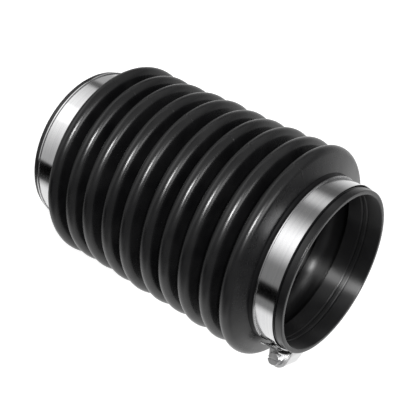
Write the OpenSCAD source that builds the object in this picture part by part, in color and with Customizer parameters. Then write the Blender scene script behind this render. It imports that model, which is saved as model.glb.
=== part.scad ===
// Rubber bellows boot with a worm-drive clamp on each collar.
// The axis is +Z. The boot stands on the rim of its far collar, at z = 0, and its near mouth is up.
// All sizes are in millimetres and all angles are in degrees.

/* [Convolutions] */
// Number of convolutions
crest_count = 10; // [4:1:14]
// Distance from one crest to the next
pitch = 14.9; // [13.5:0.1:19]
// Outer radius of the crest beside the far collar
far_crest_r = 62.8; // [60:0.1:70]
// Outer radius of the crest beside the near collar
near_crest_r = 64.6; // [60:0.1:70]
// Outside rounding radius of a crest
crest_round = 4.4; // [3.6:0.1:4.8]
// Inside radius at the bottom of a valley
valley_r = 46.7; // [44:0.1:48]
// Outside rounding radius at the bottom of a valley
valley_round = 1.6; // [1.2:0.1:2]
// Thickness of the convolution wall
wall_t = 2.4; // [1.8:0.1:3]

/* [Collars] */
// Inside radius of both collars
bore_r = 47.6; // [45:0.1:49]
// Wall thickness of a collar
collar_t = 2.7; // [2.4:0.1:3.4]
// Length of the plain part of a collar
collar_len = 19.5; // [19:0.1:26]
// Distance from the last crest to the plain part of a collar
shoulder_len = 8.6; // [8:0.1:12]
// Radius of the fillet between a shoulder and its collar
shoulder_fillet = 2; // [1:0.1:3]
// Rounding radius of the rim edges
rim_round = 0.5; // [0.2:0.1:0.9]

/* [Bore grooves] */
// Number of grooves inside each collar
groove_count = 2; // [1:1:3]
// Distance from the rim to the first groove
groove_inset = 9.8; // [8:0.1:11]
// Distance from one groove to the next
groove_pitch = 3.3; // [2.8:0.1:3.6]
// Rounding radius of a groove
groove_round = 0.9; // [0.8:0.1:1.2]
// Depth of a groove in the bore
groove_depth = 0.7; // [0.4:0.1:0.8]

/* [Clamp band] */
// Width of the band over its rolled edges
band_w = 13.2; // [12:0.1:14]
// Thickness of the band
band_t = 0.7; // [0.5:0.1:0.9]
// Outside radius of the rolled edges
edge_roll = 1.3; // [1.1:0.1:1.5]
// How far the band sinks into the rubber
band_bite = 0.35; // [0.1:0.05:0.6]
// Free length of the tail beyond the housing
tail_len = 16.5; // [9:0.5:30]
// Distance from the near rim to the middle of its band
near_clamp_inset = 11.8; // [10:0.1:12.4]
// Distance from the far rim to the middle of its band
far_clamp_inset = 10.4; // [10:0.1:12.4]
// Angle of the near clamp's housing about the axis
near_clamp_turn = 19; // [-180:1:180]
// Angle of the far clamp's housing about the axis
far_clamp_turn = 38; // [-180:1:180]

/* [Band slots] */
// Distance from one slot to the next, which is also the pitch of the worm
slot_pitch = 3.2; // [2.8:0.1:3.4]
// Width of a slot
slot_w = 1.6; // [1.4:0.1:1.8]
// Length of a slot from end to end
slot_l = 7.6; // [6:0.1:8.4]
// Slant of the slots
slot_slant = 6; // [0:0.5:8]
// Slots on the tail side of the worm
tail_slots = 6; // [1:1:7]
// Slots on the other side of the worm
ring_slots = 30; // [10:1:60]

/* [Housing] */
// Length of the housing along the band
housing_len = 14; // [12:0.5:18]
// Thickness of the housing's side walls and arch
housing_t = 0.9; // [0.6:0.1:1.2]
// Thickness of the end walls that hold the screw
end_wall_t = 1; // [0.8:0.1:1.5]
// Thickness of the floor between the ring's rolled edges and the tail
floor_t = 1.6; // [1:0.1:2.4]
// Inside bend radius of the housing's shoulders
shoulder_bend = 0.4; // [0.2:0.1:0.8]

/* [Worm screw] */
// Outside radius of the worm
worm_r = 5.2; // [4.6:0.1:5.6]
// Depth of the worm's groove
worm_depth = 1.3; // [1:0.1:1.6]
// Width of a tooth at its crest
worm_crest = 0.7; // [0.5:0.1:0.8]
// Width of a tooth at its root
worm_root = 1.5; // [1.2:0.1:1.8]
// How far the worm's teeth dip into the slots
worm_dip = 0.2; // [0.1:0.05:0.3]
// Radius of the neck in the end wall on the head's side
neck_r = 2.9; // [2.4:0.1:3]
// Radius of the tip in the other end wall
tip_r = 2.6; // [2:0.1:3]
// How far the tip stands out of its end wall
tip_out = 0.8; // [0.2:0.1:1.5]
// Thickness of the round washer face below the hexagon
washer_t = 0.9; // [0.5:0.1:1.2]
// Radius of the washer face
washer_r = 4.4; // [4:0.1:4.8]
// Width of the hexagon across its flats
hex_af = 7; // [6:0.1:7]
// Height of the hexagon
hex_h = 4.8; // [3:0.1:6]
// Width of the screwdriver slot
driver_slot_w = 1.3; // [0.8:0.1:1.6]
// Depth of the screwdriver slot
driver_slot_d = 1.9; // [1:0.1:2.4]
// Angle of the screwdriver slot, from pointing straight out of the boot
driver_slot_turn = 100; // [0:5:175]

/* [Clearances] */
// Gap between the rubber seat and the band
seat_gap = 0.05; // [0.02:0.01:0.1]
// Gap between each edge of the band and the edge of its seat
seat_side_gap = 0.3; // [0.1:0.05:0.5]
// Gap between the band and the housing
band_gap = 0.05; // [0.02:0.01:0.1]
// Gap between each edge of the band and the housing's side wall
band_side_gap = 0.15; // [0.1:0.05:0.2]
// Gap between the rubber and the lower edges of the housing's side walls
skirt_gap = 0.2; // [0.1:0.05:0.3]
// Radial gap between the screw and the housing
screw_gap = 0.08; // [0.05:0.01:0.1]
// End gap between the screw and the housing's end walls
screw_end_gap = 0.15; // [0.1:0.05:0.2]

/* [Hidden] */
$fn = 96;
rubber = [0.12, 0.12, 0.13];
band_steel = [0.78, 0.79, 0.8];
housing_steel = [0.68, 0.69, 0.71];
screw_steel = [0.55, 0.56, 0.58];
cut_over = 1;
roll_steps = 4;

// Heights along the axis
first_crest_z = collar_len + shoulder_len;
last_crest_z = first_crest_z + (crest_count - 1) * pitch;
height = last_crest_z + shoulder_len + collar_len;
near_clamp_z = height - near_clamp_inset;
far_clamp_z = far_clamp_inset;

// Radii of the collar and of the rounding centres in the bellows profile
collar_r = bore_r + collar_t;
valley_mid_r = valley_r + wall_t + valley_round;
fillet_mid_r = collar_r + shoulder_fillet;
crest_in_round = crest_round - wall_t;
valley_in_round = valley_round + wall_t;

// Radii of the band: the rubber seat, the ring's inner face and the tail's inner face
seat_r = collar_r - band_bite;
ring_r = seat_r + seat_gap;
tail_r = ring_r + edge_roll + floor_t + 2 * band_gap;
band_flat = band_w / 2 - edge_roll;

// Housing and screw places, with the housing on +X
screw_x = tail_r + band_t + worm_r - worm_dip;
bore_worm_r = worm_r + screw_gap;
tunnel_half_w = band_w / 2 + band_side_gap;
tunnel_top_x = tail_r + edge_roll + band_gap;
worm_len = housing_len - 2 * end_wall_t - 2 * screw_end_gap;

// Path of the band: the ring's start lies below the housing, and the ring's other end lifts off
// along a straight ramp as far as a crease, and runs on as the tail
start_turn = asin(housing_len / 4 / ring_r);
crease_turn = asin((housing_len / 2 + end_wall_t) / tail_r);
lift_turn = crease_turn + acos(ring_r / tail_r);
ramp_len = sqrt(pow(tail_r + edge_roll, 2) - pow(ring_r + edge_roll, 2));
tail_turn = asin(housing_len / 2 / tail_r) + deg(tail_len / tail_r);

// Lengths along the band, measured from the middle of the housing at half the band's thickness
tail_mid_r = tail_r + band_t / 2;
ring_mid_r = ring_r + band_t / 2;
ramp_start = tail_mid_r * rad(crease_turn);
ring_start = ramp_start + ramp_len;

function deg(x) = x * 180 / PI;
function rad(x) = x * PI / 180;

// Height of a crest's middle, and its outer radius, which grows evenly from one end to the other
function crest_z(i) = first_crest_z + i * pitch;
function crest_r(i) = far_crest_r + (near_crest_r - far_crest_r) * i / (crest_count - 1);

// Angle of the normal to the straight line that touches a circle at c and another at v. The reach
// is the sum of their radii where the line crosses between them, and otherwise the difference.
function flank_turn(c, v, reach) = atan2(v[1] - c[1], v[0] - c[0]) - acos(reach / norm(v - c));
function along(turn, len) = len * [cos(turn), sin(turn)];

// Outline of one side of a crest, from its rounding to the axis, a little past the middle of the
// next valley so that neighbours overlap or, at either end of the boot, at the start of the collar
function outer_side(c_r, is_end) =
    let(v = is_end ? [fillet_mid_r, shoulder_len] : [valley_mid_r, pitch / 2],
        v_round = is_end ? shoulder_fillet : valley_round,
        turn = flank_turn([c_r, 0], v, crest_round + v_round),
        low = v - along(turn, v_round),
        foot = is_end ? v[1] : v[1] + (v[1] - low[1]) / 2)
    [[c_r, 0] + along(turn, crest_round), low, [low[0], foot], [0, foot]];

// The same for the inside. At the ends the flank runs straight to a sharp edge at the bore.
function inner_side(c_r, is_end) =
    let(v = is_end ? [fillet_mid_r, shoulder_len] : [valley_mid_r, pitch / 2],
        v_round = is_end ? shoulder_fillet : valley_round,
        turn = flank_turn([c_r, 0], v, crest_round + v_round),
        top = [c_r, 0] + along(turn, crest_in_round),
        low = is_end ? [bore_r, top[1] + (top[0] - bore_r) / tan(turn)] : v - along(turn, valley_in_round),
        foot = is_end ? v[1] : v[1] + (v[1] - low[1]) / 2)
    [top, low, [low[0], foot], [0, foot]];

function mirrored(points) = [for (k = [len(points) - 1:-1:0]) [points[k][0], -points[k][1]]];

// One convolution filled to the axis, from the outline of its upper and lower sides
module lobe(c_r, c_round, upper, lower) {
    polygon(concat(upper, mirrored(lower)));
    translate([c_r, 0]) circle(c_round);
}

// Both ends have the same collar, so what is drawn for the near end is mirrored for the far end
module both_ends() {
    translate([0, height]) mirror([0, 1]) children(0);
    children(0);
}

module bellows_outside() {
    difference() {
        union() {
            for (i = [0:crest_count - 1])
                translate([0, crest_z(i)]) {
                    c_r = crest_r(i) - crest_round;
                    lobe(c_r, crest_round, outer_side(c_r, i == crest_count - 1), outer_side(c_r, i == 0));
                }
            both_ends() collar_block();
        }
        for (i = [0:crest_count - 2])
            translate([valley_mid_r, crest_z(i) + pitch / 2]) circle(valley_round);
        both_ends() translate([fillet_mid_r, collar_len]) circle(shoulder_fillet);
        band_seat(near_clamp_z);
        band_seat(far_clamp_z);
    }
}

// Solid collar with its rim at z = 0 and a rounded outer edge, run on into the first crest
module collar_block() {
    translate([0, rim_round]) square([collar_r, collar_len + cut_over - rim_round]);
    square([collar_r - rim_round, collar_len + cut_over]);
    translate([collar_r - rim_round, rim_round]) circle(rim_round);
}

// Groove that the band presses into the collar
module band_seat(z) {
    seat_w = band_w + 2 * seat_side_gap;
    translate([seat_r, z - seat_w / 2]) square([band_bite + cut_over, seat_w]);
}

module bellows_inside() {
    difference() {
        union() {
            for (i = [0:crest_count - 1])
                translate([0, crest_z(i)]) {
                    c_r = crest_r(i) - crest_round;
                    lobe(c_r, crest_in_round, inner_side(c_r, i == crest_count - 1), inner_side(c_r, i == 0));
                }
            both_ends() collar_bore();
            both_ends() bore_grooves();
        }
        for (i = [0:crest_count - 2])
            translate([valley_mid_r, crest_z(i) + pitch / 2]) circle(valley_in_round);
    }
}

// Bore of a collar with a rounded edge at its rim, run on into the first crest
module collar_bore() {
    translate([0, -cut_over]) square([bore_r, collar_len + 2 * cut_over]);
    difference() {
        translate([0, -cut_over]) square([bore_r + rim_round, rim_round + cut_over]);
        translate([bore_r + rim_round, rim_round]) circle(rim_round);
    }
}

module bore_grooves() {
    for (k = [0:groove_count - 1])
        translate([bore_r + groove_depth - groove_round, groove_inset + k * groove_pitch])
            circle(groove_round);
}

module bellows() {
    color(rubber)
        rotate_extrude($fn = 180)
            difference() {
                bellows_outside();
                bellows_inside();
            }
}

// One face of a rolled edge's section, from the flat to the lip, about its centre at radius mid_r
function roll_arc(mid_r, roll) =
    [for (k = [0:roll_steps])
        let(turn = 90 * k / roll_steps)
            [mid_r, band_flat] + roll * [-cos(turn), sin(turn)]];

// Section of the band, with its inner face at radius r and both edges rolled outwards
module band_section(r) {
    outside = roll_arc(r + edge_roll, edge_roll);
    half = concat(roll_arc(r + edge_roll, edge_roll - band_t), [for (k = [roll_steps:-1:0]) outside[k]]);
    polygon(concat(half, mirrored(half)));
}

// Space that the band takes where it passes the housing, with its clearance
module band_space(r) {
    roll_low = band_flat - band_gap;
    translate([r - band_gap, -tunnel_half_w]) square([band_t + 2 * band_gap, 2 * tunnel_half_w]);
    for (side = [0, 1])
        mirror([0, side])
            translate([r, roll_low]) square([edge_roll + band_gap, tunnel_half_w - roll_low]);
}

module slot_outline() {
    end = (slot_l - slot_w) / 2;
    square([2 * end, slot_w], center = true);
    translate([end, 0]) circle(slot_w / 2, $fn = 24);
    translate([-end, 0]) circle(slot_w / 2, $fn = 24);
}

// Cutter for one slot, through a wall whose inner face stands at radius r on +X
module slot_cut(r) {
    translate([r - cut_over, 0, 0])
        rotate([0, 90, 0])
            linear_extrude(band_t + 2 * cut_over) rotate(slot_slant) slot_outline();
}

// Puts a slot at length s along the band, on the tail, the ramp or the ring
module slot_at(s) {
    if (s < ramp_start)
        rotate(deg(s / tail_mid_r)) slot_cut(tail_r);
    else if (s < ring_start)
        rotate(lift_turn) translate([0, s - ring_start, 0]) slot_cut(ring_r);
    else
        rotate(lift_turn + deg((s - ring_start) / ring_mid_r)) slot_cut(ring_r);
}

module clamp_band() {
    color(band_steel)
        difference() {
            union() {
                rotate(lift_turn)
                    rotate_extrude(angle = 360 + start_turn - lift_turn, $fn = 180) band_section(ring_r);
                rotate(lift_turn) rotate([90, 0, 0]) linear_extrude(ramp_len) band_section(ring_r);
                rotate(-tail_turn)
                    rotate_extrude(angle = tail_turn + crease_turn, $fn = 180) band_section(tail_r);
            }
            for (k = [-tail_slots:ring_slots]) slot_at(k * slot_pitch);
        }
}

// Section of the housing across the screw: straight side walls, rounded shoulders and an arch.
// The inner face is drawn with t = 0 and the outer face with the thickness of the sheet.
module arched_section(low_x, t) {
    arch = [screw_x, 0];
    bend = [tunnel_top_x - shoulder_bend, tunnel_half_w - shoulder_bend];
    turn = flank_turn(arch, bend, bore_worm_r - shoulder_bend);
    side = [arch + along(turn, bore_worm_r + t), bend + along(turn, shoulder_bend + t),
            [bend[0], tunnel_half_w + t], [low_x, tunnel_half_w + t]];
    polygon(concat(side, mirrored(side)));
    translate(arch) circle(bore_worm_r + t);
    for (side_y = [-bend[1], bend[1]])
        translate([bend[0], side_y]) circle(shoulder_bend + t);
}

// Stretches a section drawn with x outwards and y along the axis over a length of the band
module along_band(len) {
    rotate([90, 0, 0]) linear_extrude(len, center = true) children();
}

module half_turned() {
    rotate(-90) rotate_extrude(angle = 180, $fn = 180) children();
}

module clamp_housing() {
    color(housing_steel)
        difference() {
            along_band(housing_len) arched_section(collar_r + skirt_gap, housing_t);
            half_turned() band_space(ring_r);
            half_turned() band_space(tail_r);
            along_band(housing_len - 2 * end_wall_t) arched_section(tail_r, 0);
            translate([screw_x, 0, 0]) {
                rotate([90, 0, 0]) cylinder(h = housing_len, r = neck_r + screw_gap);
                rotate([-90, 0, 0]) cylinder(h = housing_len, r = tip_r + screw_gap);
            }
        }
}

// Teeth of the worm, as the outline of rings around the screw's axis
function teeth(root_r, count) =
    let(tooth = [[root_r, -worm_root], [worm_r, -worm_crest], [worm_r, worm_crest], [root_r, worm_root]])
    [for (k = [-count:count], p = tooth) [p[0], k * slot_pitch + p[1] / 2]];

// Turned part of the screw along +Z, with the middle of the worm at the origin and the head's side up
module screw_turned() {
    half = worm_len / 2;
    root_r = worm_r - worm_depth;
    neck_top = housing_len / 2 + screw_end_gap;
    tip_low = -housing_len / 2 - tip_out;
    count = floor((half - worm_root / 2) / slot_pitch);
    rotate_extrude()
        polygon(concat([[0, tip_low], [tip_r, tip_low], [tip_r, -half], [root_r, -half]],
                       teeth(root_r, count),
                       [[root_r, half], [neck_r, half], [neck_r, neck_top], [washer_r, neck_top],
                        [washer_r, neck_top + washer_t], [0, neck_top + washer_t]]));
}

// Hexagon with a chamfered face and a slot for a screwdriver
module screw_head() {
    corner_r = hex_af / sqrt(3);
    chamfer = corner_r - hex_af / 2;
    difference() {
        intersection() {
            cylinder(h = hex_h, r = corner_r, $fn = 6);
            union() {
                cylinder(h = hex_h - chamfer, r = corner_r + cut_over);
                translate([0, 0, hex_h - chamfer]) cylinder(h = chamfer, r1 = corner_r, r2 = hex_af / 2);
            }
        }
        translate([-corner_r, -driver_slot_w / 2, hex_h - driver_slot_d])
            cube([2 * corner_r, driver_slot_w, driver_slot_d + cut_over]);
    }
}

module clamp_screw() {
    color(screw_steel)
        translate([screw_x, 0, 0])
            rotate([90, 0, 0]) {
                screw_turned();
                translate([0, 0, housing_len / 2 + screw_end_gap + washer_t])
                    rotate(driver_slot_turn) screw_head();
            }
}

module at_near_clamp() {
    translate([0, 0, near_clamp_z]) rotate(near_clamp_turn) children();
}

module at_far_clamp() {
    translate([0, 0, far_clamp_z]) rotate(far_clamp_turn) children();
}

module near_clamp_band() { at_near_clamp() clamp_band(); }
module near_clamp_housing() { at_near_clamp() clamp_housing(); }
module near_clamp_screw() { at_near_clamp() clamp_screw(); }
module far_clamp_band() { at_far_clamp() clamp_band(); }
module far_clamp_housing() { at_far_clamp() clamp_housing(); }
module far_clamp_screw() { at_far_clamp() clamp_screw(); }

bellows();
near_clamp_band();
near_clamp_housing();
near_clamp_screw();
far_clamp_band();
far_clamp_housing();
far_clamp_screw();
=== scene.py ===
from math import acos, atan2, cos, hypot, pi, radians, sin, tan

import bpy
from mathutils import Matrix, Vector, noise


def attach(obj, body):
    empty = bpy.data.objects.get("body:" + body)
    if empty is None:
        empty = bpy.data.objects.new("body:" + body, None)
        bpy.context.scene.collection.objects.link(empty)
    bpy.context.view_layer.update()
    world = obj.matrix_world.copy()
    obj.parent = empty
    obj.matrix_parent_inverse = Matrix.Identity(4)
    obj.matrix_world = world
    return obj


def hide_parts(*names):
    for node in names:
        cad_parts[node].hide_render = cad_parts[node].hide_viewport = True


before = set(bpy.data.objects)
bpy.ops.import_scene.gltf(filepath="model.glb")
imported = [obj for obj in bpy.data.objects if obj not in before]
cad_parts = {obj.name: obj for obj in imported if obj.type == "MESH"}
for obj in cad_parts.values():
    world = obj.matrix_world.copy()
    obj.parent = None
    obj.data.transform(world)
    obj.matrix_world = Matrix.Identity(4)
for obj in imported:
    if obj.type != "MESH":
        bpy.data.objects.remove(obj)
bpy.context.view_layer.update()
mm = 0.001  # the scene and the studio are in metres, the sizes of the pieces in millimetres
print("packed frame loaded:", ", ".join(sorted(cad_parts)))


# Nodes and objects, for the studio and the pieces


def addNode(tree, kind, **settings):
    node = tree.nodes.new(kind)
    for name, value in settings.items():
        setattr(node, name, value)
    return node


def plug(tree, source, target):  # the source is another node's output or a plain value
    if isinstance(source, bpy.types.NodeSocket):
        tree.links.new(source, target)
    else:
        target.default_value = source


def mathNode(tree, operation, *values):
    node = addNode(tree, "ShaderNodeMath", operation=operation)
    for value, socket in zip(values, node.inputs):
        plug(tree, value, socket)
    return node.outputs[0]


def vectorNode(tree, operation, *values):
    node = addNode(tree, "ShaderNodeVectorMath", operation=operation)
    for value, socket in zip(values, node.inputs):
        plug(tree, value, socket)
    return node.outputs["Value" if operation == "DOT_PRODUCT" else "Vector"]


mixSockets = {"FLOAT": (2, 3, 0), "VECTOR": (4, 5, 1), "RGBA": (6, 7, 2)}  # both inputs and the output


def mixNode(tree, share, first, second, kind="FLOAT"):  # first where share is 0, second where it is 1
    node = addNode(tree, "ShaderNodeMix", data_type=kind)
    firstIn, secondIn, mixed = mixSockets[kind]
    plug(tree, share, node.inputs[0])
    plug(tree, first, node.inputs[firstIn])
    plug(tree, second, node.inputs[secondIn])
    return node.outputs[mixed]


def softStep(tree, value, start, end):  # from 0 at start to 1 at end
    node = addNode(tree, "ShaderNodeMapRange", interpolation_type="SMOOTHSTEP")
    node.inputs["From Min"].default_value = start
    node.inputs["From Max"].default_value = end
    plug(tree, value, node.inputs["Value"])
    return node.outputs["Result"]


def addObject(name, data):
    thing = bpy.data.objects.new(name, data)
    bpy.context.scene.collection.objects.link(thing)
    return thing


def aimed(spot, aim):
    turn = (Vector(aim) - Vector(spot)).to_track_quat("-Z", "Y")
    return Matrix.Translation(spot) @ turn.to_matrix().to_4x4()


# Camera and light

studio = {
    "cameraSpot": (0.0, -0.5174, 0.3927),
    "cameraAim": (0.0009, 0.0, 0.0988),
    "cameraRoll": 117.81,  # degrees, the photograph shows the boot lying down
    "lens": 85.48,
    "sensor": 36.0,
    "clip": (0.01, 50),
    "floorTone": 0.93,
    "floorRoughness": 0.8,
    "floorGlow": 0.58,
    "floorSize": 6.0,
    "lightAim": (0, 0, 0.095),
    "keySoftbox": {"spot": (-0.10, -1.02, 0.71), "width": 0.26, "height": 0.2, "power": 13.0},
    "topSoftbox": {"spot": (-0.26, -0.45, 1.1), "width": 0.5, "height": 0.5, "power": 3.2},
    # how bright the room is between the cards: above, along the near and the far part, and under the end
    "aboveLevel": 0.18,
    "nearLevel": 0.24,
    "farLevel": 0.5,
    "endLevel": 0.3,
    # where each part begins and where it is full, by how steep a direction is: 1 straight up, -1 down
    "belowZone": (-0.1, -0.35),
    "farZone": (-0.52, -0.63),
    "endZone": (-0.68, -0.92),
    "tableHigh": (1, 0.25),
    "tableLow": (-1, -0.6),
    # soft cards round the boot: direction about its axis, half of the even part, half of the whole, level
    "whiteTable": (62, 54, 72, 1.06),
    "paperSweep": (112, 4, 64, 0.95),
    "skyLeft": (-150, 30, 60, 0.27),
    "frontNear": (-101, 0, 40, 1.25),
    "frontFar": (-118, 8, 75, 0.75),
    "windowFar": (-114, 12, 16, 0.4),
    "backGlow": (-166, 2, 18, 0.5),
    # dark gaps between them, whose level is the share of the light that is missing
    "gapNear": (-27, 8, 14, 1.0),
    "gapFar": (-20, 13, 18, 1.0),
    "sideNear": (170, 3, 13, 0.42),
    "sideFar": (-179, 2, 11, 0.85),
}


def placeCamera():
    data = bpy.data.cameras.new("studioCamera")
    data.lens = studio["lens"]
    data.sensor_width = studio["sensor"]
    data.clip_start, data.clip_end = studio["clip"]
    camera = addObject("studioCamera", data)
    roll = Matrix.Rotation(radians(studio["cameraRoll"]), 4, "Z")
    camera.matrix_world = aimed(studio["cameraSpot"], studio["cameraAim"]) @ roll
    bpy.context.scene.camera = camera


def placeSoftbox(name):
    box = studio[name]
    data = bpy.data.lights.new(name, "AREA")
    data.shape = "RECTANGLE"
    data.size = box["width"]
    data.size_y = box["height"]
    data.energy = box["power"]
    addObject(name, data).matrix_world = aimed(box["spot"], studio["lightAim"])


def lightRoom():  # a dim room with a bright table on one side of the boot and soft cards round it
    world = bpy.data.worlds.new("paleStudio")
    world.use_nodes = True
    tree = world.node_tree
    axes = addNode(tree, "ShaderNodeSeparateXYZ")
    plug(tree, addNode(tree, "ShaderNodeTexCoord").outputs["Generated"], axes.inputs[0])
    turn = mathNode(tree, "ARCTAN2", axes.outputs["Y"], axes.outputs["X"])

    def card(name):
        centre, even, whole, level = studio[name]
        away = mathNode(tree, "WRAP", mathNode(tree, "SUBTRACT", turn, radians(centre)), pi, -pi)
        away = mathNode(tree, "ABSOLUTE", away)
        return mathNode(tree, "MULTIPLY", softStep(tree, away, radians(whole), radians(even)), level)

    def zone(name):
        return softStep(tree, axes.outputs["Z"], *studio[name])

    farZone = zone("farZone")
    near = mathNode(tree, "ADD", card("frontNear"), studio["nearLevel"])
    near = mathNode(tree, "ADD", near, card("backGlow"))
    far = mathNode(tree, "ADD", card("frontFar"), studio["farLevel"])
    far = mathNode(tree, "ADD", far, card("windowFar"))
    side = mixNode(tree, farZone, card("sideNear"), card("sideFar"))
    room = mixNode(tree, side, mixNode(tree, farZone, near, far), 0)
    table = mathNode(tree, "MAXIMUM", card("whiteTable"), card("paperSweep"))
    lowTable = mathNode(tree, "MULTIPLY", table, zone("tableLow"))
    gap = mixNode(tree, farZone, card("gapNear"), card("gapFar"))
    below = mixNode(tree, gap, mathNode(tree, "MAXIMUM", room, lowTable), 0)
    below = mixNode(tree, zone("endZone"), below, studio["endLevel"])
    highTable = mathNode(tree, "MULTIPLY", table, zone("tableHigh"))
    above = mathNode(tree, "ADD", card("skyLeft"), studio["aboveLevel"])
    above = mathNode(tree, "MAXIMUM", highTable, above)

    background = tree.nodes["Background"]
    background.inputs["Color"].default_value = (1, 1, 1, 1)
    plug(tree, mixNode(tree, zone("belowZone"), above, below), background.inputs["Strength"])
    bpy.context.scene.world = world


def layFloor():
    half = studio["floorSize"] / 2
    corners = [(-half, -half, 0), (half, -half, 0), (half, half, 0), (-half, half, 0)]
    mesh = bpy.data.meshes.new("studioFloor")
    mesh.from_pydata(corners, [], [(0, 1, 2, 3)])
    material = bpy.data.materials.new("paleFloor")
    material.use_nodes = True
    shader = material.node_tree.nodes["Principled BSDF"]
    tone = studio["floorTone"]
    shader.inputs["Base Color"].default_value = (tone, tone, tone, 1)
    shader.inputs["Roughness"].default_value = studio["floorRoughness"]
    shader.inputs["Emission Color"].default_value = (1, 1, 1, 1)
    shader.inputs["Emission Strength"].default_value = studio["floorGlow"]
    mesh.materials.append(material)
    floor = addObject("studioFloor", mesh)
    floor.visible_glossy = False  # the room's cards light the boot, from below too
    floor.visible_diffuse = False
    floor.visible_shadow = False


placeCamera()
placeSoftbox("keySoftbox")
placeSoftbox("topSoftbox")
lightRoom()
layFloor()
bpy.context.scene.view_settings.view_transform = "Standard"
print("camera, light and floor placed")


# Effects that the materials share

noiseLow, noiseHigh = 0.3, 0.7  # a noise texture seldom goes past these


def noiseNode(tree, place, scale, detail, roughness=0.5):
    cloud = addNode(tree, "ShaderNodeTexNoise")
    plug(tree, place, cloud.inputs["Vector"])
    plug(tree, scale, cloud.inputs["Scale"])
    cloud.inputs["Detail"].default_value = detail
    cloud.inputs["Roughness"].default_value = roughness
    return cloud.outputs["Fac"]


def newGroup(name, values, results):  # a group's named numbers, and what it puts out at each place
    group = bpy.data.node_groups.new(name, "ShaderNodeTree")
    group.interface.new_socket("Place", in_out="INPUT", socket_type="NodeSocketVector")
    for label, value in values.items():
        socket = group.interface.new_socket(label, in_out="INPUT", socket_type="NodeSocketFloat")
        socket.default_value = value
    for label in results:
        group.interface.new_socket(label, in_out="OUTPUT", socket_type="NodeSocketFloat")
    return group, addNode(group, "NodeGroupInput").outputs, addNode(group, "NodeGroupOutput").inputs


def buildSmudges():  # patches where the surface was handled, as a change of roughness
    group, given, result = newGroup(
        "handlingSmudges", {"Size": 40, "Clean": 0.3, "Handled": 0.4}, ["Roughness"])
    spread = addNode(group, "ShaderNodeMapRange")
    spread.inputs["From Min"].default_value = noiseLow
    spread.inputs["From Max"].default_value = noiseHigh
    cloud = noiseNode(group, given["Place"], given["Size"], detail=4, roughness=0.6)
    plug(group, cloud, spread.inputs["Value"])
    plug(group, given["Clean"], spread.inputs["To Min"])
    plug(group, given["Handled"], spread.inputs["To Max"])
    plug(group, spread.outputs["Result"], result["Roughness"])
    return group


def buildBrushing():  # fine lines round the boot's axis, left by rolling and polishing the strip
    group, given, result = newGroup("stripBrushing", {"Along": 60, "Across": 4000}, ["Lines", "Tone"])
    stretch = addNode(group, "ShaderNodeCombineXYZ")
    plug(group, given["Along"], stretch.inputs["X"])
    plug(group, given["Along"], stretch.inputs["Y"])
    plug(group, given["Across"], stretch.inputs["Z"])
    stretched = vectorNode(group, "MULTIPLY", given["Place"], stretch.outputs["Vector"])
    plug(group, noiseNode(group, stretched, scale=1, detail=3), result["Lines"])
    plug(group, noiseNode(group, stretched, scale=0.22, detail=2), result["Tone"])
    return group


def buildSkin():  # a moulded rubber surface: greyed patches, slow ripples and fine grain
    group, given, result = newGroup(
        "mouldedSkin", {"Patches": 55, "Ripples": 95, "Grains": 2400}, ["Bloom", "Ripple", "Grain"])
    plug(group, noiseNode(group, given["Place"], given["Patches"], detail=5), result["Bloom"])
    plug(group, noiseNode(group, given["Place"], given["Ripples"], detail=1), result["Ripple"])
    plug(group, noiseNode(group, given["Place"], given["Grains"], detail=2), result["Grain"])
    return group


smudges = buildSmudges()
brushing = buildBrushing()
skin = buildSkin()
print("shared effects built:", ", ".join(group.name for group in (smudges, brushing, skin)))


def placeGroup(tree, group, place, **values):
    node = addNode(tree, "ShaderNodeGroup", node_tree=group)
    plug(tree, place, node.inputs["Place"])
    for name, value in values.items():
        node.inputs[name].default_value = value
    return node.outputs


def blankMaterial(name):
    material = bpy.data.materials.new(name)
    material.use_nodes = True
    tree = material.node_tree
    place = addNode(tree, "ShaderNodeTexCoord").outputs["Object"]
    return material, tree, tree.nodes["Principled BSDF"].inputs, place


def colourRamp(tree, factor, low, high, lowAt=noiseLow, highAt=noiseHigh):
    ramp = addNode(tree, "ShaderNodeValToRGB")
    ramp.color_ramp.elements[0].position = lowAt
    ramp.color_ramp.elements[0].color = (*low, 1)
    ramp.color_ramp.elements[1].position = highAt
    ramp.color_ramp.elements[1].color = (*high, 1)
    plug(tree, factor, ramp.inputs["Fac"])
    return ramp.outputs["Color"]


def bumpFrom(tree, height, depth, normal=None):
    bump = addNode(tree, "ShaderNodeBump")
    bump.inputs["Strength"].default_value = 1
    bump.inputs["Distance"].default_value = depth * mm
    plug(tree, height, bump.inputs["Height"])
    if normal is not None:
        plug(tree, normal, bump.inputs["Normal"])
    return bump.outputs["Normal"]


# Bellows

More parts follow.
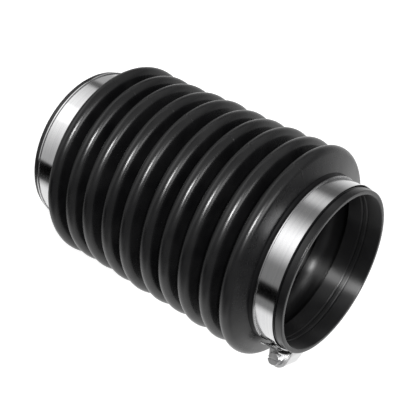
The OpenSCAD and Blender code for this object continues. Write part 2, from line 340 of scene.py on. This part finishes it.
boot = {
    "crests": 10,
    "pitch": 14.9,
    "farCrest": 62.8,
    "nearCrest": 64.6,
    "crestRound": 4.4,
    "valley": 46.7,
    "valleyRound": 1.6,
    "wall": 2.4,
    "bore": 47.6,
    "collarWall": 2.7,
    "collarLength": 19.5,
    "shoulder": 8.6,
    "shoulderFillet": 2.0,
    "rimRound": 0.5,
    "grooves": 2,
    "grooveInset": 9.8,
    "groovePitch": 3.3,
    "grooveRound": 0.9,
    "grooveDepth": 0.7,
    "seatMiddles": (10.4, 178.5),
    "seatWidth": 13.8,
    "seatDepth": 0.35,
    "seatRise": 2.6,  # how far up the shoulder the painted shade beside a band reaches, as darker, less glossy rubber
    "creaseWidth": 0.8,  # the rubber creases along the edges of a tight band
    "creaseDepth": 1.4,
    "creaseReach": 3,  # steps of the shoulder's fillet that the crease takes in
    # how far each fold lies off its even place, along the axis and outwards
    "crestShift": (0.2, -0.5, -1.3, -0.3, -0.5, 0.1, -0.9, -0.8, -0.2, -0.3),
    "crestGrow": (0.5, -0.4, -0.5, -0.15, 0.15, -0.45, -0.75, -0.25, -0.05, 0.5),
    "swell": 0.22,  # slow waves over the folds
    "swellRound": 1.3,  # how close together they are round the axis
    "swellAlong": 0.09,  # and along it
    "swellFoot": 0.1,  # how far above the collar they begin
    "moulding": (-129.0, 51.0),  # degrees, where the halves of the mould met
    "mouldingHeight": (0.12, -0.2, 0.16, -0.22, 0.2, -0.12, -0.26, 0.14, 0.1, 0.14),  # flash or nick
    "mouldingWidth": 1.1,
    "mouldingSteps": 4,  # columns of faces on each side of the line
    "mouldingClear": 1.1,  # how far from it the even columns begin, as a share of its width
    "columns": 176,
    "crispTurn": 35,  # degrees, a corner of the profile that turns more stays crisp
    "arcSteps": {"rim": 4, "groove": 8, "fillet": 6, "crest": 16, "valley": 8,
                 "innerCrest": 8, "innerValley": 9},
}
collarRadius = boot["bore"] + boot["collarWall"]
foldsLength = (boot["crests"] - 1) * boot["pitch"]
firstCrest = boot["collarLength"] + boot["shoulder"]
bootHeight = 2 * firstCrest + foldsLength
seams = [radians(turn) % (2 * pi) for turn in boot["moulding"]]


def arcPoints(middle, radius, start, end, steps):
    return [
        (middle[0] + radius * cos(start + (end - start) * k / steps),
         middle[1] + radius * sin(start + (end - start) * k / steps))
        for k in range(steps + 1)
    ]


def flankTurn(crest, valley, reach):  # the angle of the straight flank's normal, above or below the crest
    rise = abs(valley[1] - crest[1])
    run = valley[0] - crest[0]
    return atan2(rise, run) - acos(reach / hypot(rise, run))


def foldMiddles():  # middles of the crests' arcs and of those between them, as radius and height
    crests = []
    for i in range(boot["crests"]):
        taper = (boot["nearCrest"] - boot["farCrest"]) * i / (boot["crests"] - 1)
        radius = boot["farCrest"] + taper + boot["crestGrow"][i]
        crests.append((radius - boot["crestRound"], firstCrest + i * boot["pitch"] + boot["crestShift"][i]))
    valleyRadius = boot["valley"] + boot["wall"] + boot["valleyRound"]
    valleys = [(valleyRadius, (low[1] + high[1]) / 2) for low, high in zip(crests, crests[1:])]
    return crests, valleys


def seatPoints(middle):  # the shallow groove that a band sits in, with a crease at each side
    low = middle - boot["seatWidth"] / 2
    high = middle + boot["seatWidth"] / 2
    wide = boot["creaseWidth"]
    foot = collarRadius - boot["creaseDepth"]
    deep = collarRadius - boot["seatDepth"]
    return [(collarRadius, low - wide), (foot, low), (deep, low + wide),
            (deep, high - wide), (foot, high), (collarRadius, high + wide)]


def mouthPoints():  # the bore of a collar, from its rim over the grooves
    rim = boot["rimRound"]
    bore = boot["bore"]
    points = arcPoints((bore + rim, rim), rim, -pi / 2, -pi, boot["arcSteps"]["rim"])
    radius = bore + boot["grooveDepth"] - boot["grooveRound"]
    half = acos((bore - radius) / boot["grooveRound"])
    for k in range(boot["grooves"]):
        middle = (radius, boot["grooveInset"] + k * boot["groovePitch"])
        points += arcPoints(middle, boot["grooveRound"], -half, half, boot["arcSteps"]["groove"])
    return points


def innerEdge(crest, turn, side):  # the sharp edge where a collar's bore meets the first or last fold
    reach = boot["crestRound"] - boot["wall"]
    touch = (crest[0] + reach * cos(turn), crest[1] + side * reach * sin(turn))
    return boot["bore"], touch[1] + side * (touch[0] - boot["bore"]) / tan(turn)


def bellowsProfile():  # the wall's outside and inside, each from the far rim to the near one
    crests, valleys = foldMiddles()
    filletRadius = collarRadius + boot["shoulderFillet"]
    farFillet = (filletRadius, boot["collarLength"])
    nearFillet = (filletRadius, bootHeight - boot["collarLength"])
    rounds = [boot["shoulderFillet"]] + [boot["valleyRound"]] * len(valleys)
    reaches = [boot["crestRound"] + size for size in rounds]
    turnIn = [flankTurn(*flank) for flank in zip(crests, [farFillet] + valleys, reaches)]
    turnOut = [flankTurn(*flank) for flank in zip(crests, valleys + [nearFillet], reaches[::-1])]

    def foldPoints(crestRound, valleyRound, crestSteps, valleySteps):
        points = []
        for i, crest in enumerate(crests):
            points += arcPoints(crest, crestRound, -turnIn[i], turnOut[i], crestSteps)
            if i < len(valleys):
                start, end = pi + turnOut[i], pi - turnIn[i + 1]
                points += arcPoints(valleys[i], valleyRound, start, end, valleySteps)
        return points

    rim = boot["rimRound"]
    steps = boot["arcSteps"]
    taken = boot["creaseReach"]
    farSeat, nearSeat = (seatPoints(middle) for middle in boot["seatMiddles"])
    outside = arcPoints((collarRadius - rim, rim), rim, -pi / 2, 0, steps["rim"])
    outside += farSeat[:-1]
    outside += arcPoints(farFillet, boot["shoulderFillet"], pi, pi - turnIn[0], steps["fillet"])[taken:]
    outside += foldPoints(boot["crestRound"], boot["valleyRound"], steps["crest"], steps["valley"])
    outside += arcPoints(nearFillet, boot["shoulderFillet"], pi + turnOut[-1], pi, steps["fillet"])[:-taken]
    outside += nearSeat[1:]
    outside += arcPoints((collarRadius - rim, bootHeight - rim), rim, 0, pi / 2, steps["rim"])

    wall = boot["wall"]
    mouth = mouthPoints()
    inside = mouth + [innerEdge(crests[0], turnIn[0], -1)]
    inside += foldPoints(
        boot["crestRound"] - wall, boot["valleyRound"] + wall, steps["innerCrest"], steps["innerValley"])
    inside += [innerEdge(crests[-1], turnOut[-1], 1)]
    inside += [(r, bootHeight - z) for r, z in mouth[::-1]]
    return outside, inside


def apart(first, second):  # the angle between two directions
    return abs((first - second + pi) % (2 * pi) - pi)


def columnAngles():  # even columns of faces, and narrow ones over the mould lines
    step = 2 * pi / boot["columns"]
    reach = boot["mouldingWidth"] / boot["nearCrest"]
    clear = reach * boot["mouldingClear"]
    even = [k * step for k in range(boot["columns"])]
    angles = [turn for turn in even if all(apart(turn, seam) > clear for seam in seams)]
    steps = boot["mouldingSteps"]
    for seam in seams:
        angles += [seam + reach * k / steps for k in range(-steps, steps + 1)]
    return sorted(turn % (2 * pi) for turn in angles)


def seamRise(angle, r, z):
    away = min(apart(angle, seam) for seam in seams) * r
    fold = min(max(round((z - firstCrest) / boot["pitch"]), 0), boot["crests"] - 1)
    return boot["mouldingHeight"][fold] * max(0, 1 - (away / (boot["mouldingWidth"] / 2)) ** 2) ** 2


def foldSwell(angle, r, z):  # how far the folds' outside stands off an even round
    around = boot["swellRound"]
    wave = noise.noise(Vector((cos(angle) * around, sin(angle) * around, z * boot["swellAlong"])))
    return boot["swell"] * wave + seamRise(angle, r, z)


def isCrisp(before, here, after):
    turnBefore = atan2(here[1] - before[1], here[0] - before[0])
    turnAfter = atan2(after[1] - here[1], after[0] - here[0])
    return apart(turnAfter, turnBefore) > radians(boot["crispTurn"])


def inPaintedShade(r, z):  # by a band or at the foot of the shoulder beside it, where shade is painted into the rubber
    low, high = boot["seatMiddles"]
    onCollar = low < z < firstCrest or firstCrest + foldsLength < z < high
    return onCollar and r < collarRadius + boot["seatRise"]


rubber = {
    "outside": {
        "deep": (0.0038, 0.0038, 0.0042),
        "bloom": (0.009, 0.009, 0.0094),
        "bloomAt": (0.4, 0.75),  # where the greyed patches begin and are full
        "gloss": 0.5,
        "clean": 0.23,
        "handled": 0.33,
        "smudges": 48.0,  # this and the next three say how close together they are
        "patches": 55.0,
        "ripples": 95.0,
        "grains": 2400.0,
        "rippleDepth": 0.08,
        "grainDepth": 0.0015,
    },
    "inside": {
        "deep": (0.0045, 0.0045, 0.0048),
        "bloom": (0.010, 0.010, 0.0104),
        "bloomAt": (0.4, 0.75),
        "gloss": 0.64,
        "clean": 0.36,
        "handled": 0.42,
        "smudges": 48.0,
        "patches": 55.0,
        "ripples": 95.0,
        "grains": 2400.0,
        "rippleDepth": 0.08,
        "grainDepth": 0.005,
        "coreMarks": 1.0,  # turning marks of the mould's core draw the gloss out
        "coreMarksTurn": 0.25,  # a quarter turn, so they run round the axis
    },
    "seat": {  # painted shade: darker, less glossy rubber in the bands' shadow
        "deep": (0.0038, 0.0038, 0.0042),
        "bloom": (0.007, 0.007, 0.0074),
        "bloomAt": (0.4, 0.75),
        "gloss": 0.12,
        "clean": 0.35,
        "handled": 0.5,
        "smudges": 48.0,
        "patches": 55.0,
        "ripples": 95.0,
        "grains": 2400.0,
        "rippleDepth": 0.08,
        "grainDepth": 0.004,
    },
}


def wallSides(outside, inside):  # which rubber each stretch of the profile has, numbered as above
    sides = []
    profile = outside + inside[::-1]
    for k, here in enumerate(profile):
        if len(outside) <= k < len(profile) - 1:
            sides.append("inside")
        # stretches by a band take the rubber with painted shade
        elif k < len(outside) and inPaintedShade(*here) and inPaintedShade(*profile[k + 1]):
            sides.append("seat")
        else:
            sides.append("outside")
    return [list(rubber).index(side) for side in sides]


def buildBellows():
    outside, inside = bellowsProfile()
    profile = outside + inside[::-1]
    count = len(profile)
    angles = columnAngles()
    points = []
    for angle in angles:
        for k, (r, z) in enumerate(profile):
            onFold = k < len(outside) and r > collarRadius + boot["swellFoot"]
            reach = (r + (foldSwell(angle, r, z) if onFold else 0)) * mm
            points.append((reach * cos(angle), reach * sin(angle), z * mm))
    faces = []
    for a in range(len(angles)):
        b = (a + 1) % len(angles)
        for k in range(count):
            n = (k + 1) % count
            faces.append((a * count + k, b * count + k, b * count + n, a * count + n))
    mesh = bpy.data.meshes.new("rubberBellows")
    mesh.from_pydata(points, [], faces)
    mesh.polygons.foreach_set("material_index", wallSides(outside, inside) * len(angles))
    mesh.polygons.foreach_set("use_smooth", [True] * len(faces))
    crisp = [isCrisp(profile[k - 1], here, profile[(k + 1) % count]) for k, here in enumerate(profile)]
    flags = []
    for edge in mesh.edges:
        first, second = (vertex % count for vertex in edge.vertices)
        flags.append(first == second and crisp[first])
    mesh.attributes.new("sharp_edge", "BOOLEAN", "EDGE").data.foreach_set("value", flags)
    mesh.update()
    print("bellows:", len(points), "points,", 2 * len(faces), "triangles")
    return addObject("rubberBellows", mesh)


def rubberMaterial(name, look):
    material, tree, inputs, place = blankMaterial(name)
    surface = placeGroup(
        tree, skin, place, Patches=look["patches"], Ripples=look["ripples"], Grains=look["grains"])
    dull = placeGroup(
        tree, smudges, place, Size=look["smudges"], Clean=look["clean"], Handled=look["handled"])
    tone = colourRamp(tree, surface["Bloom"], look["deep"], look["bloom"], *look["bloomAt"])
    plug(tree, tone, inputs["Base Color"])
    plug(tree, dull["Roughness"], inputs["Roughness"])
    inputs["Specular IOR Level"].default_value = look["gloss"]
    if "coreMarks" in look:
        inputs["Anisotropic"].default_value = look["coreMarks"]
        inputs["Anisotropic Rotation"].default_value = look["coreMarksTurn"]
        tangent = addNode(tree, "ShaderNodeTangent", direction_type="RADIAL", axis="Z")
        plug(tree, tangent.outputs["Tangent"], inputs["Tangent"])
    rippled = bumpFrom(tree, surface["Ripple"], look["rippleDepth"])
    plug(tree, bumpFrom(tree, surface["Grain"], look["grainDepth"], rippled), inputs["Normal"])
    return material


bellows = buildBellows()
for side, look in rubber.items():
    bellows.data.materials.append(rubberMaterial(side + "Rubber", look))
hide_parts("bellows")
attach(bellows, "boot")
print("bellows finished in", ", ".join(material.name for material in bellows.data.materials))


# Clamps

steel = {
    "band": {
        "dark": (0.66, 0.66, 0.67),
        "light": (0.74, 0.74, 0.74),
        "clean": 0.10,
        "handled": 0.16,
        "smudges": 70.0,
        "along": 30.0,
        "across": 2600.0,
        "lineDepth": 0.003,
        "polish": 0.95,  # the rolled edges and the strip are polished in one sweep
        "polishFrom": (-0.15, 0.1),  # where it begins and is full, by how far a face looks outwards
        "underShade": (0.035, 0.034, 0.033),  # painted shade: a near-black tone on the faces towards the rubber, under the tail and the band
        "underShadeRoughness": 0.5,
        "underShadeFrom": (-0.3, -0.6),
    },
    "housing": {
        "dark": (0.90, 0.90, 0.90),
        "light": (0.97, 0.97, 0.97),
        "clean": 0.46,
        "handled": 0.56,
        "smudges": 70.0,
        "along": 120.0,
        "across": 2600.0,
        "lineDepth": 0.006,
        "edgeRound": 0.35,
    },
    "screw": {
        "dark": (0.50, 0.50, 0.51),
        "light": (0.70, 0.70, 0.70),
        "clean": 0.40,
        "handled": 0.52,
        "smudges": 70.0,
        "along": 300.0,
        "across": 1500.0,
        "lineDepth": 0.006,
        "edgeRound": 0.35,
    },
}
edgeSteps = 2
edgeTurn = 35  # degrees, only sharper edges than this are rounded


def steelMaterial(name, look):
    material, tree, inputs, place = blankMaterial(name)
    inputs["Metallic"].default_value = 1
    brushed = placeGroup(tree, brushing, place, Along=look["along"], Across=look["across"])
    dull = placeGroup(
        tree, smudges, place, Size=look["smudges"], Clean=look["clean"], Handled=look["handled"])
    tone = colourRamp(tree, brushed["Tone"], look["dark"], look["light"])
    roughness = dull["Roughness"]
    facing = addNode(tree, "ShaderNodeNewGeometry").outputs["Normal"]
    if "polish" in look:
        outwards = vectorNode(tree, "NORMALIZE", vectorNode(tree, "MULTIPLY", place, (1, 1, 0)))
        towards = vectorNode(tree, "DOT_PRODUCT", outwards, facing)
        # painted shade: faces that look towards the rubber, under the tail and the band, turn near black
        underShaded = softStep(tree, towards, *look["underShadeFrom"])
        tone = mixNode(tree, underShaded, tone, (*look["underShade"], 1), "RGBA")
        roughness = mixNode(tree, underShaded, roughness, look["underShadeRoughness"])
        swept = mathNode(tree, "MULTIPLY", softStep(tree, towards, *look["polishFrom"]), look["polish"])
        facing = mixNode(tree, swept, facing, outwards, "VECTOR")
    plug(tree, tone, inputs["Base Color"])
    plug(tree, roughness, inputs["Roughness"])
    plug(tree, bumpFrom(tree, brushed["Lines"], look["lineDepth"], facing), inputs["Normal"])
    return material


def roundEdges(node, size):
    bevel = node.modifiers.new("edgeRound", "BEVEL")
    bevel.width = size * mm
    bevel.segments = edgeSteps
    bevel.limit_method = "ANGLE"
    bevel.angle_limit = radians(edgeTurn)


for part, look in steel.items():
    material = steelMaterial(part + "Steel", look)
    for end in ("near", "far"):
        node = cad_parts[f"{end}_clamp_{part}"]
        node.data.materials.clear()
        node.data.materials.append(material)
        if "edgeRound" in look:
            roundEdges(node, look["edgeRound"])
print("clamps finished")
